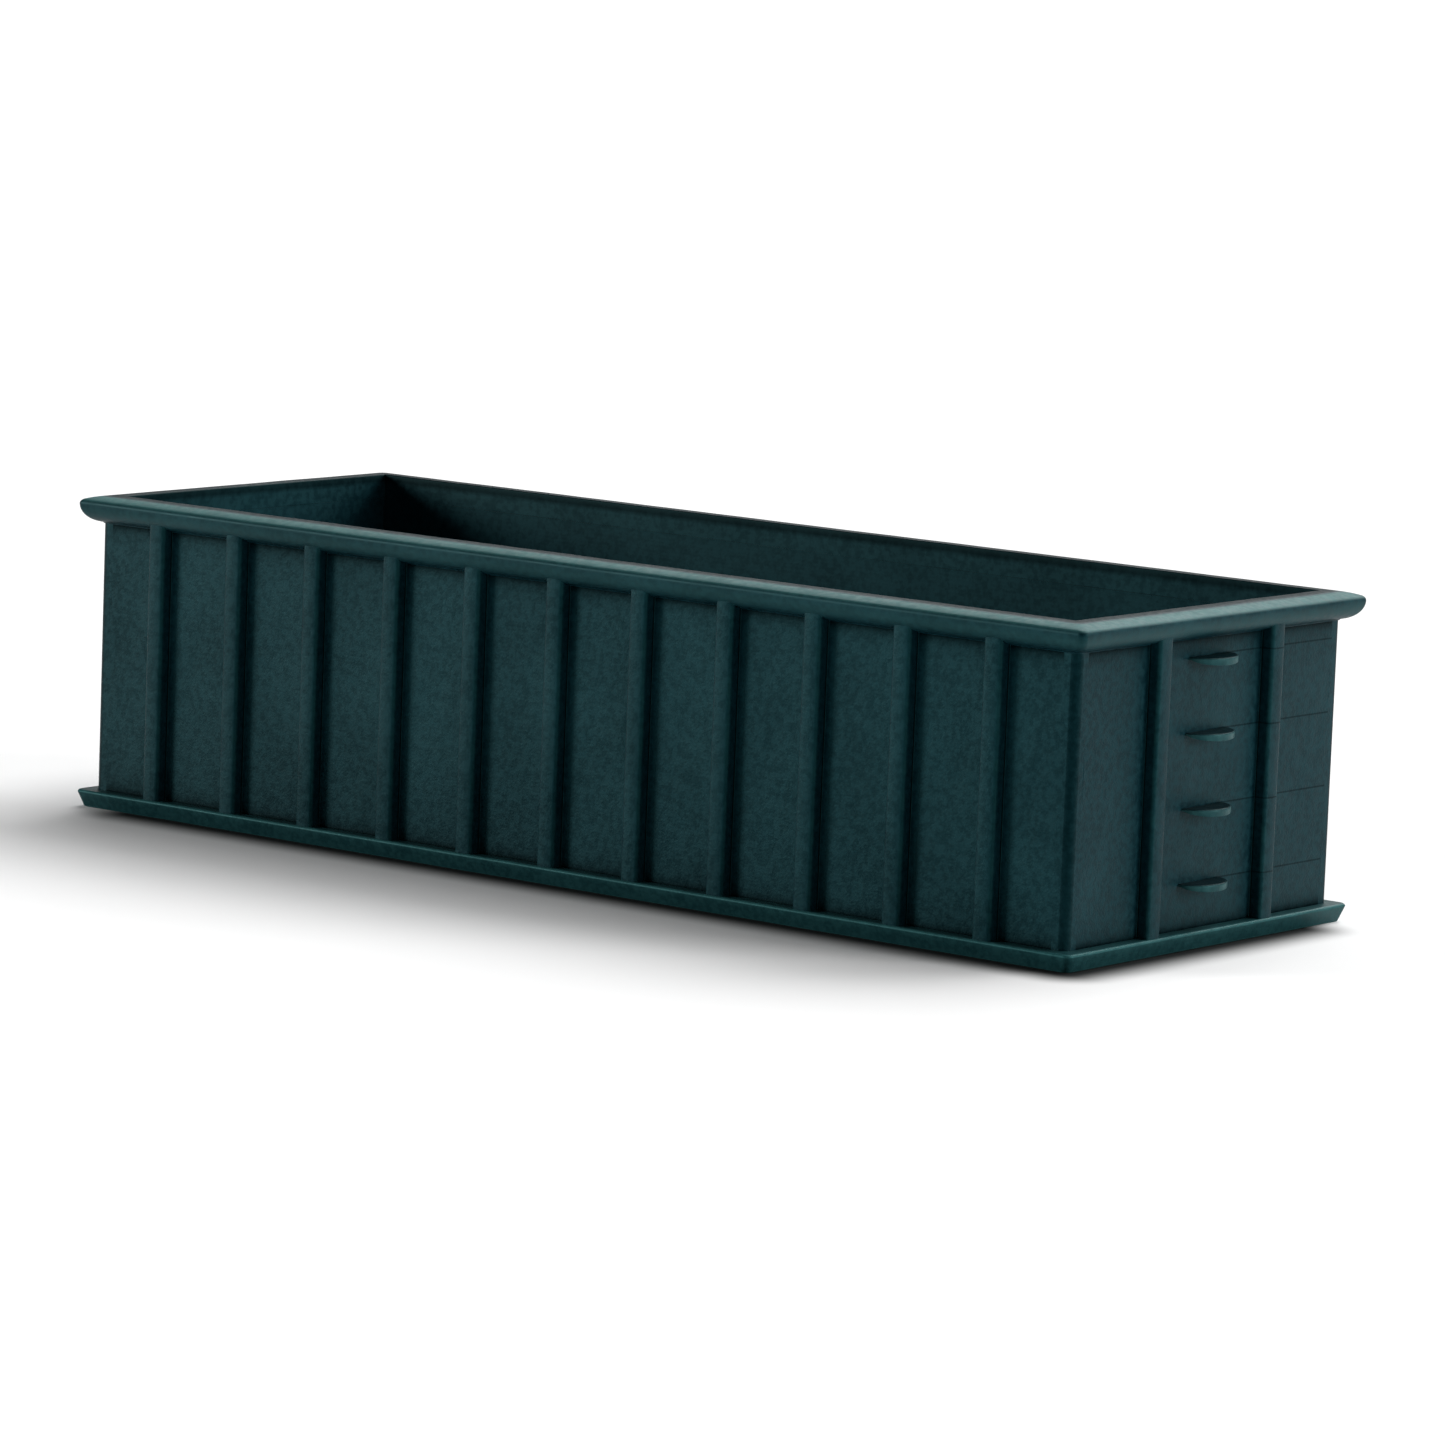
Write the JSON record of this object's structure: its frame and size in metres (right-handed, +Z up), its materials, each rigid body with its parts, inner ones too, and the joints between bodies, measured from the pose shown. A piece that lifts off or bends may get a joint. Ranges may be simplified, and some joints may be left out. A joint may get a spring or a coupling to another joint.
{
  "type": "grain box body",
  "caption": "Long straight-walled open-top steel grain box with ribbed double-skin walls, rolled top rail, base frame, end steps and a rack-lifted discharge gate.",
  "frame": {"origin": "middle of the base, on the ground", "axes": "+X along the box's length towards the end with the steps, +Y across it, +Z up"},
  "size_m": [7.343, 2.629, 1.8],
  "materials": {
    "body_paint": "satin dark green-teal paint with a fine mottle",
    "rail_paint": "satin dark green-teal paint, a little glossier on the rolled edge",
    "lining": "satin dark green-teal paint, rubbed by grain",
    "primer": "matt dark green undercoat",
    "wheel_paint": "satin dark green-teal paint",
    "machined_steel": "turned and cut steel, lightly greased",
    "zinc_bolts": "zinc-plated"
  },
  "bodies": {
    "box": {"base_rail_front": "body_paint", "base_rail_left": "body_paint", "base_rail_rear": "body_paint", "base_rail_right": "body_paint", "corner_posts": "body_paint", "cross_members": "primer", "floor_plate": "lining", "gate_bolts": "zinc_bolts", "gate_brackets": "body_paint", "gate_guides": "body_paint", "inner_liner_front": "lining", "inner_liner_left": "lining", "inner_liner_rear": "lining", "inner_liner_right": "lining", "long_sills": "primer", "outer_sheet_front": "body_paint", "outer_sheet_left": "body_paint", "outer_sheet_rear": "body_paint", "outer_sheet_right": "body_paint", "outlet_collar": "body_paint", "post_front_01": "body_paint", "post_front_02": "body_paint", "post_left_01": "body_paint", "post_left_02": "body_paint", "post_left_03": "body_paint", "post_left_04": "body_paint", "post_left_05": "body_paint", "post_left_06": "body_paint", "post_left_07": "body_paint", "post_left_08": "body_paint", "post_left_09": "body_paint", "post_left_10": "body_paint", "post_left_11": "body_paint", "post_rear_01": "body_paint", "post_rear_02": "body_paint", "post_right_01": "body_paint", "post_right_02": "body_paint", "post_right_03": "body_paint", "post_right_04": "body_paint", "post_right_05": "body_paint", "post_right_06": "body_paint", "post_right_07": "body_paint", "post_right_08": "body_paint", "post_right_09": "body_paint", "post_right_10": "body_paint", "post_right_11": "body_paint", "step_1": "body_paint", "step_2": "body_paint", "step_3": "body_paint", "step_4": "body_paint", "top_rail_front": "rail_paint", "top_rail_left": "rail_paint", "top_rail_rear": "rail_paint", "top_rail_right": "rail_paint", "wall_studs": "primer"},
    "gate": {"gate_door": "body_paint", "gate_rack": "machined_steel"},
    "axle": {"gate_shaft": "machined_steel", "gate_pinion": "machined_steel", "gate_handwheel": "wheel_paint"}
  },
  "joints": [
    {"name": "gate_lift", "type": "slide", "parent": "box", "child": "gate", "axis": [0, 0, 1], "range_m": [0, 0.35]},
    {"name": "wheel_turn", "type": "hinge", "parent": "box", "child": "axle", "pos_m": [-3.618, 0, 0.64], "axis": [0, -1, 0], "range_deg": [0, 420]}
  ],
  "couplings": [
    {"joint": "wheel_turn", "follows": "gate_lift", "rad_per_m": 20.833}
  ]
}
